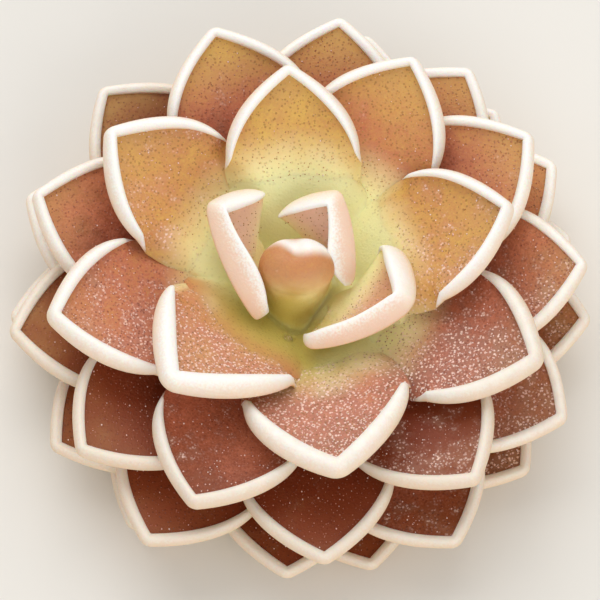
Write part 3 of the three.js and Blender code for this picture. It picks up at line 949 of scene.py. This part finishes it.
triangles = 0
for leaf, node in zip(leaves.values(), leaf_nodes[1:]):
    grid = leaf_grid(leaf)
    faces = grid_faces(*grid.u.shape).tolist() + [cut_end(*grid.u.shape)]
    radius = np.hypot(grid.points[..., 0], grid.points[..., 1])
    share = np.clip(grid.u / leaf.rib.length, 0, 1)
    bare = 1 - smooth_step(grid.swell, *BARE_TO[leaf.young])
    fields = {
        "roll": grid.roll,
        "tip": (share - 0.5) / 0.5,
        "fresh": np.maximum(
            freshness(leaf, radius, share),
            bare_freshness(leaf, radius, bare, grid.inset),
        ),
        "golden": (GOLDEN + BACK_TIP_LIGHT * math.sin(leaf.azimuth)) * smooth_step(share, GOLDEN_FROM, 1),
        "redness": leaf_redness(leaf) + gradient(leaf, share),
        "bare": bare,
        "plain": np.full(grid.u.shape, YOUNG_PLAIN * leaf.young),
        "flush": np.full(grid.u.shape, LIT_FLUSH.get(leaf.age, 0)),
        "blush": rim_blush(leaf, grid.v) * smooth_step(grid.swell, *BLUSH_FROM),
        "wet": wetness_and_glare(leaf, grid.points[..., 1]),
    }
    slot = slot_of(leaf)
    name = f"leaf_{leaf.age:02d}_flesh"
    piece = add_piece(name, grid.points.reshape(-1, 3), faces, fields, flesh[slot], (node,))
    volume, open_edges = weld(piece)
    triangles += len(piece.data.polygons) * 2
    if volume <= 0 or open_edges:
        print(f"{name}: volume {volume:.1f} mm3, {open_edges} open edges")
print(f"{len(leaves)} leaves, about {triangles} triangles")

# %% [markdown]
# ## The heart of the rosette
#
# On the real plant the leaf bases grow together, and the middle of the rosette is one soft, smooth hollow of
# yellow-green flesh, with no seam between one leaf and the next. Separate leaves can't give that, and joining
# them with a Boolean would leave hard edges. So a skin is laid over their bases: a height over the plan,
# worked out as a smooth maximum of the heights of all the leaf faces, which rounds off every valley. Further
# out the skin sinks below the faces and out of sight.

# %% The heart
HEART_ROWS, HEART_COLUMNS = 80, 200
HEART_RADIUS = 9.5
SKIN_THICKNESS = 0.3
BLEND = 2.5  # per mm; a larger number gives tighter valleys
HEART_LEAVES = range(3, 13)
LIFT = 0.06  # of the skin over the faces near the middle
SINK = {True: 5.0, False: 0.6}  # how far it then sinks below them, for young and for open leaves
SINK_FROM, SINK_TO = {True: 2.5, False: 6.3}, {True: 7.0, False: 10.5}  # distances over which it does
PLAIN_FROM, PLAIN_TO = 5.0, 8.0  # distances over which the smooth maximum turns into the plain one
DIVE_FROM, DIVE = 8.0, 3.0  # the skin's outermost rows go down and out of sight
PIT = SimpleNamespace(x=-0.7, y=-4.5, width=0.25, depth=1.0)  # between three leaf bases
BEHIND_SEAT = 0.8  # how steeply a face falls away there
TROUGH_LIMIT = 6  # the trough across a leaf rises no further than this far from its midrib


def face_height(leaf, x, y):
    """Height of a leaf's face over plan points: the bent midrib raised by the trough across it. The face
    falls away beyond the leaf's edges and behind its seat."""
    c, s = math.cos(leaf.azimuth), math.sin(leaf.azimuth)
    radial, lateral = x * c + y * s, y * c - x * s
    rib_r, rib_z = leaf.rib.curve.T
    along_r, along_z = leaf.rib.tangent.T
    off = leaf.thickness / 2
    for _ in range(2):
        u = np.interp(radial + off * np.interp(radial, rib_r, along_z), rib_r, leaf.rib.at)
        cup = leaf.cup * (leaf.base_cup + (1 - leaf.base_cup) * u / leaf.rib.length)
        off = (1 - np.cos(cup * np.clip(lateral, -TROUGH_LIMIT, TROUGH_LIMIT))) / cup + leaf.thickness / 2
    height = np.interp(u, leaf.rib.at, rib_z) + off * np.interp(u, leaf.rib.at, along_r)
    half = half_outline(leaf, 1)
    half_width = np.interp(u, half.u[: STATIONS.base], half.w[: STATIONS.base])
    behind = np.maximum(0, leaf.seat_radius - radial)
    sink = LIFT - SINK[leaf.young] * smooth_step(np.hypot(x, y), SINK_FROM[leaf.young], SINK_TO[leaf.young])
    return height - droop(leaf, half_width - np.abs(lateral)) - BEHIND_SEAT * behind + sink


def heart_skin(x, y):
    """The smooth maximum log(sum(exp(k h)))/k of all face heights h, turning into the plain maximum further
    out, less the pit and the dive at its end, and each leaf's share in it."""
    heights = np.stack([face_height(leaves[age], x, y) for age in HEART_LEAVES])
    strength = np.exp(BLEND * heights)
    pit = PIT.depth * np.exp(-((x - PIT.x) ** 2 + (y - PIT.y) ** 2) / PIT.width**2)
    radius = np.hypot(x, y)
    dive = DIVE * smooth_step(radius, DIVE_FROM, HEART_RADIUS)
    plain = smooth_step(radius, PLAIN_FROM, PLAIN_TO)
    rounded = np.log(strength.sum(0)) / BLEND
    return rounded + plain * (heights.max(0) - rounded) - pit - dive, strength / strength.sum(0)


angle = np.linspace(0, 2 * math.pi, HEART_COLUMNS + 1)
radius = np.linspace(0, HEART_RADIUS, HEART_ROWS)[:, None]
x, y = radius * np.cos(angle), radius * np.sin(angle)
top, part = heart_skin(x, y)
points = np.concatenate([np.stack([x, y, top], -1), np.stack([x, y, top - SKIN_THICKNESS], -1)[::-1]])
redness = sum(part[i] * leaf_redness(leaves[age]) for i, age in enumerate(HEART_LEAVES))
fresh = sum(part[i] * freshness(leaves[age], radius, 0) for i, age in enumerate(HEART_LEAVES))
fields = {
    "roll": np.full(points.shape[:2], LEVEL.face),
    "tip": np.full(points.shape[:2], -1.0),
    "fresh": np.concatenate([fresh, fresh[::-1]]),
    "redness": np.concatenate([redness, redness[::-1]]),
}
faces = grid_faces(*points.shape[:2]).tolist()
heart = add_piece("heart", points.reshape(-1, 3), faces, fields, flesh["leaf_young"])
volume, open_edges = weld(heart)
print(f"heart: {volume:.0f} mm3, {open_edges} open edges, {top.min():.1f} to {top.max():.1f} mm high")

# %% [markdown]
# ## The bud
#
# The youngest leaf is still closed: a plump hood that leans over the axis, with its pale rim along the top
# and a dip in the middle of it. Its foot is drawn out forwards to a point and runs into the heart without a
# seam. A ball pulled into shape by hand would do, but its foot would cut the heart in a hard line. So the bud
# is modelled as rings carried from a domed top down a bulging body. Near the foot the rings widen and take up
# the height of the heart's skin, so that bud and skin share one tangent where they meet.

# %% The shape of the bud
BUD_COLUMNS = 96
BUD_ROWS = SimpleNamespace(cap=26, body=34)
BUD_TOP = SimpleNamespace(x=-0.15, y=-0.35, z=13.35)
BUD_FOOT_X = -0.5
BUD_HALF_WIDTH, BUD_HALF_DEPTH = 2.75, 2.15
BUD_CAP, BUD_BODY = 2.2, 2.4  # height of the dome, and of the body before it bends into the heart
DOME_POWER = 0.75
BUD_WAIST = 0.14  # how much narrower the body gets below
BUD_FLARE = 0.35  # how much wider the foot then gets
BUD_TAIL = 1.2  # how far the foot reaches forwards
BUD_TAPER = 0.45  # how much narrower it gets there
BUD_JOINS_FROM = 0.15  # share of the body from which it takes up the height of the skin
DIP = SimpleNamespace(x=-0.3, width=0.65, depth=0.36, inwards=0.4, y=(-0.8, 0.6))


def bud_points():
    """Rings of radius (sin a)^0.75 and height cos a over the dome, then 1 - waist sin^2 + flare s^3 below,
    the lower ones drawn out forwards into a pointed foot."""
    angle = np.linspace(0, 2 * math.pi, BUD_COLUMNS + 1)
    a = np.linspace(0, math.pi / 2, BUD_ROWS.cap)[:, None]
    s = np.linspace(0, 1, BUD_ROWS.body + 1)[1:, None]
    body = 1 - BUD_WAIST * np.sin(math.pi / 2 * s) ** 2 + BUD_FLARE * s**3
    ring = np.concatenate([np.sin(a) ** DOME_POWER, body])
    down = np.concatenate([0 * a, s])
    fall = np.concatenate([BUD_CAP * (1 - np.cos(a)), BUD_CAP + BUD_BODY * s])
    forwards = np.maximum(0, -np.sin(angle)) * down
    taper = 1 - BUD_TAPER * forwards
    x = BUD_TOP.x + (BUD_FOOT_X - BUD_TOP.x) * down + ring * BUD_HALF_WIDTH * np.cos(angle) * taper
    y = BUD_TOP.y + ring * BUD_HALF_DEPTH * np.sin(angle) - BUD_TAIL * forwards
    z = BUD_TOP.z - fall + 0 * x
    near_top = smooth_step(z, BUD_TOP.z - BUD_CAP, BUD_TOP.z)
    hollow = np.exp(-(((x - DIP.x) / DIP.width) ** 2)) * near_top * smooth_step(y, *DIP.y)
    y = y - DIP.inwards * hollow
    z = z - DIP.depth * hollow
    skin, _ = heart_skin(x, y)
    joined = smooth_step(down, BUD_JOINS_FROM, 1)
    return np.stack([x, y, z + (skin - z) * joined], -1), near_top


points, near_top = bud_points()
print(f"bud: {points.shape[0]} rings, {np.ptp(points[..., 0]):.1f} mm wide")

# %% [markdown]
# ## The colours of the bud
#
# The bud is tan above and yellow-green at its foot. In front, where it is in the hollow's shade, more of it
# is yellow-green and it turns olive: painted shade. Its pale band is the rim of the closed leaf. It is only a
# colour here, because the rim lies flat on the dome: a strip of its own would stand proud and cast a shadow.
# It keeps back on the left and comes a little forwards in the middle, under the dip.

# %% The bud
BUD_CLOSED_AT = 6.5  # height of the point, inside the heart, to which the last ring is closed
BAND_Y, BAND_Z = (-0.4, 0.7), (11.3, 12.6)  # over which the pale band comes in
BAND_TONGUE = SimpleNamespace(x=0.3, width=0.9, forwards=0.2)
BAND_LEFT = SimpleNamespace(x=(-1.9, 0), back=0.8)
FOOT_FRESH_Z = (7.6, 10.0)  # over which the foot's yellow-green gives way
FRONT_FRESH = SimpleNamespace(forwards=0.6, down=0.3, level=11.5, over=(-0.1, 3.1))
BUD_RED, BUD_RED_TOP, BUD_GOLDEN = 0.46, 0.05, 0.3


def pale_band(x, y, z):
    """1 on the pale band and 0 off it, by y and z, with a tongue exp(-t^2) forwards and its left side set
    back."""
    tongue = BAND_TONGUE.forwards * np.exp(-(((x - BAND_TONGUE.x) / BAND_TONGUE.width) ** 2))
    back = BAND_LEFT.back * (1 - smooth_step(x, *BAND_LEFT.x))
    return smooth_step(y + (tongue - back), *BAND_Y) * smooth_step(z, *BAND_Z)


def bud_freshness(y, z):
    """1 all round the foot, and on the front more and more the further forwards and down, where it carries
    the painted shade of the hollow.
    """
    foot = 1 - smooth_step(z, *FOOT_FRESH_Z)
    front = FRONT_FRESH.forwards * -y - FRONT_FRESH.down * (z - FRONT_FRESH.level)
    return np.maximum(foot, smooth_step(front, *FRONT_FRESH.over))


closing = np.broadcast_to(np.array([BUD_FOOT_X, BUD_TOP.y, BUD_CLOSED_AT]), (1, *points.shape[1:]))
points = np.concatenate([points, closing])
near_top = np.concatenate([near_top, near_top[-1:]])
x, y, z = np.moveaxis(points, -1, 0)
fields = {
    "roll": np.full(z.shape, LEVEL.face),
    "tip": np.full(z.shape, -1.0),
    "fresh": bud_freshness(y, z),
    "redness": BUD_RED + BUD_RED_TOP * near_top,
    "golden": np.full(z.shape, BUD_GOLDEN),
    "pale": pale_band(x, y, z),
    "plain": np.ones(z.shape),
}
faces = grid_faces(*points.shape[:2]).tolist()
bud = add_piece("bud", points.reshape(-1, 3), faces, fields, flesh["leaf_young"], ("leaf_00",))
volume, open_edges = weld(bud)
print(f"bud: {volume:.0f} mm3, {open_edges} open edges, {z.max():.1f} mm high")

# %% [markdown]
# ## Glands and dew
#
# Every face is beset with stalked glands, about half a millimetre apart, and many carry a droplet that
# glitters. A stalk is too short to show, so a gland is a bead sunk half into the face. A particle system
# would be lost on export, so each bead is real: one shape of 12 points and 20 faces, copied to thousands of
# places by one array operation.

# %% Beads
NEIGHBOURS_WITHIN = 1.1  # corners that share an edge are 1.05 apart, and all others over 1.7


def icosahedron():
    """The 12 points (0, +-1, +-g) and their rotations, of length 1, and the 20 faces between neighbours."""
    golden = (1 + math.sqrt(5)) / 2
    flat = np.array([(0, a, b * golden) for a in (-1, 1) for b in (-1, 1)])
    corners = np.concatenate([flat, np.roll(flat, 1, 1), np.roll(flat, 2, 1)]) / math.hypot(1, golden)
    near = np.linalg.norm(corners[:, None] - corners, axis=2) < NEIGHBOURS_WITHIN
    triples = [(i, j, k) for i in range(12) for j in range(i) for k in range(j)]
    triples = [(i, j, k) for i, j, k in triples if near[i, j] & near[j, k] & near[i, k]]
    outwards = [np.dot(np.cross(corners[j] - corners[i], corners[k] - corners[i]), corners[i]) > 0
                for i, j, k in triples]
    return corners, np.array([(i, j, k) if out else (i, k, j) for (i, j, k), out in zip(triples, outwards)])


def add_beads(name, centres, sizes, material):
    """Copies of the icosahedron at all centres: centre + size * corner, as one mesh."""
    corners, triangles = icosahedron()
    points = centres[:, None] + sizes[:, None, None] * corners
    faces = triangles + len(corners) * np.arange(len(centres))[:, None, None]
    piece = add_piece(name, points.reshape(-1, 3), faces.reshape(-1, 3).tolist(), {}, material)
    piece.data.polygons.foreach_set("use_smooth", np.ones(len(piece.data.polygons), bool))
    print(f"{name}: {len(centres)} beads, {len(piece.data.polygons)} triangles")


def bead_finish(name, dark, light, roughness):
    """A moist bead, its colour varied a little from place to place."""
    graph = Graph(name)
    tone = graph.noise(graph.millimetres(), 2.0)
    return graph.finish(
        Base_Color=graph.mix(graph.step(tone, 0.3, 0.7), dark, light),
        Roughness=roughness + tone * 0.1,
        Coat_Weight=0.6,
        Coat_Roughness=0.08,
    )


corners, triangles = icosahedron()
print(f"a bead has {len(corners)} points and {len(triangles)} faces")

# %% [markdown]
# ## Where the beads sit
#
# Glands stand evenly but not in rows, and there are none on the rim or the bare margin. Pure chance would
# give clumps and gaps. A square grid whose points are each pushed up to half a step aside keeps them even
# without lines. It is laid on the flat leaf, where the distance to the edge is simple, and `bend` carries it
# to space. Dew takes a finer grid, and keeps a point by chance, more often where the leaf is wet.

# %% Places for beads
GLAND_SPACING, DEW_SPACING = 0.46, 0.3
INSIDE_RIM = 0.1  # the least distance of a bead from the rim
GLANDS_FROM, INNER_GLANDS_FROM, DEW_FROM = 0.3, 0.42, 0.45  # shares of the length
INNER_AGES = 9  # leaves below this age have longer bases without glands
RIMMED_FROM = 0.15  # fullness of the rim under which the margin inside it is bare
GLAND_SIZE, DEW_SIZE = (0.035, 0.06), (0.025, 0.07)
DEW_RAISED = 0.02  # the centre of a drop over the face
DEW_LEAST, DEW_MOST = 0.03, 1.2  # chances of a drop on a dry and on the wettest place


def face_places(leaf, spacing, draw, from_share):
    """Places u and v on a leaf's face inside its rim, from a grid jittered by a seeded draw."""
    u, v = np.meshgrid(np.arange(from_share * leaf.rib.length, leaf.rib.length, spacing),
                       np.arange(-leaf.half_width, leaf.half_width, spacing))
    u, v = ((each + draw.uniform(-0.5, 0.5, each.shape) * spacing).ravel() for each in (u, v))
    half = half_outline(leaf, 1)
    w = np.interp(u, half.u, half.w)
    slope = np.interp(u, half.u, np.gradient(half.w, half.u))
    swell = rim_swell(leaf, leaf.rib.length - u, v)
    inside = (w - np.abs(v)) / np.hypot(1, slope) > leaf.rim_width * swell + INSIDE_RIM
    off_margin = np.abs(v) < w - MARGIN
    keep = inside & (off_margin | (swell > RIMMED_FROM))
    return u[keep], v[keep]


def patches(x, y):
    """Where dew has gathered, 0 to 1: 0.5 + 0.5 times the product of two crossed waves in the plan."""
    return 0.5 + 0.5 * np.sin(2.1 * x + 1.3 * y) * np.sin(1.2 * x - 2.4 * y)


def glands_and_dew(leaf):
    """Centres of the glands and of the drops on one leaf."""
    draw = np.random.default_rng([3, leaf.age])
    bare_to = INNER_GLANDS_FROM if leaf.age < INNER_AGES else GLANDS_FROM
    glands = bend(leaf, *face_places(leaf, GLAND_SPACING, draw, bare_to), leaf.thickness / 2)
    drops = bend(leaf, *face_places(leaf, DEW_SPACING, draw, DEW_FROM), leaf.thickness / 2 + DEW_RAISED)
    x, y, _ = drops.T
    chance = DEW_LEAST + DEW_MOST * wetness_and_glare(leaf, y) ** 1.5 * patches(x, y)
    return glands, drops[draw.uniform(0, 1, len(drops)) < chance]


glands, drops = glands_and_dew(leaves[8])
print(f"leaf 8: {len(glands)} glands and {len(drops)} drops")

# %% [markdown]
# ## All glands and dew
#
# Gland heads are amber on young leaves and dark red on old ones. Dew is a pale pinkish white: the pink of the
# flesh under it, lightened as a painted glint of the light it catches. Real drops are clear, but clear drops
# this small would cost the renderer much and look no different from moist pale beads. Thousands of objects
# would be slow to handle, so each kind of leaf has one mesh of glands and one of dew.

# %% Glands and dew
gland_finish = {
    "leaf_young": bead_finish("gland_young", colour(164, 112, 54), colour(210, 164, 98), 0.3),
    "leaf_mature": bead_finish("gland_mature", colour(128, 56, 36), colour(206, 136, 112), 0.25),
    "leaf_old": bead_finish("gland_old", colour(96, 42, 26), colour(178, 104, 84), 0.25),
}
# Pale dew beads: the pink of the flesh, lightened as a painted glint.
dew_glint_finish = bead_finish("dew", colour(236, 190, 178), colour(252, 232, 226), 0.1)
for slot, material in gland_finish.items():
    kind = slot.removeprefix("leaf_")
    own = [glands_and_dew(leaf) for leaf in leaves.values() if slot_of(leaf) == slot]
    glands, dew = (np.concatenate(centres) for centres in zip(*own))
    draw = np.random.default_rng(5)
    add_beads(f"glands_{kind}", glands, draw.uniform(*GLAND_SIZE, len(glands)), material)
    add_beads(f"dew_{kind}", dew, draw.uniform(*DEW_SIZE, len(dew)), dew_glint_finish)

# %% [markdown]
# ## The crown
#
# Under the heart stands the crown, a short cone of stem that carries all leaves. Little of it shows, so a
# turned shape serves well: a profile carried round the axis, swollen a little so that the leaf bases sink
# into it. It is cut flat underneath, where the plant rests.

# %% Crown
CROWN_ROWS, CROWN_COLUMNS = 60, 120
FILLET = 0.35  # how far the flesh swells out over the youngest leaf's seat
CUT_RADIUS = 4.4  # of the flat face underneath
LUMPS, LUMPS_FROM = 0.02, 0.5  # how uneven the stem is, as a share, and from which height


def crown_points():
    """Radius and height of the seats by share from youngest to oldest, swollen, carried round the axis."""
    share = np.linspace(0, 1, CROWN_ROWS)
    radius = np.concatenate([[0], seat_radius(share) + FILLET * (1 - share), [CUT_RADIUS, 0]])[:, None]
    height = np.concatenate([[CROWN_TOP], seat_height(share), [0, 0]])[:, None]
    angle = np.linspace(0, 2 * math.pi, CROWN_COLUMNS + 1)
    lumps = 1 + LUMPS * np.sin(5 * angle + 3 * height) * (height > LUMPS_FROM)
    x = radius * np.cos(angle) * lumps
    y = radius * np.sin(angle) * lumps
    return np.stack([x, y, np.broadcast_to(height, x.shape)], -1)


def crown_finish():
    """Yellow-green flesh, faintly clouded."""
    graph = Graph("crown_flesh")
    place = graph.millimetres()
    skin = graph.mix(graph.noise(place, 0.5, 3.0), colour(196, 178, 96), colour(222, 208, 138))
    return flesh_finish(graph, skin, graph.noise(place, 4.0))


points = crown_points()
faces = grid_faces(*points.shape[:2]).tolist()
crown = add_piece("crown_stem", points.reshape(-1, 3), faces, {}, crown_finish(), ("crown",))
volume, open_edges = weld(crown)
print(f"crown: {volume:.0f} mm3, {open_edges} open edges")

# %% [markdown]
# ## The two boxes
#
# The dressed plant has to stay the size of its solids. Both boxes are printed, the one of the solids from the
# start and the one of what shows now, so that they can be compared.

# %% Sizes, and the end
visual_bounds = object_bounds()
for label, box in (("solids", cad_bounds), ("dressed", visual_bounds)):
    print(label, [round(value / MM, 2) for corner in box for value in corner])
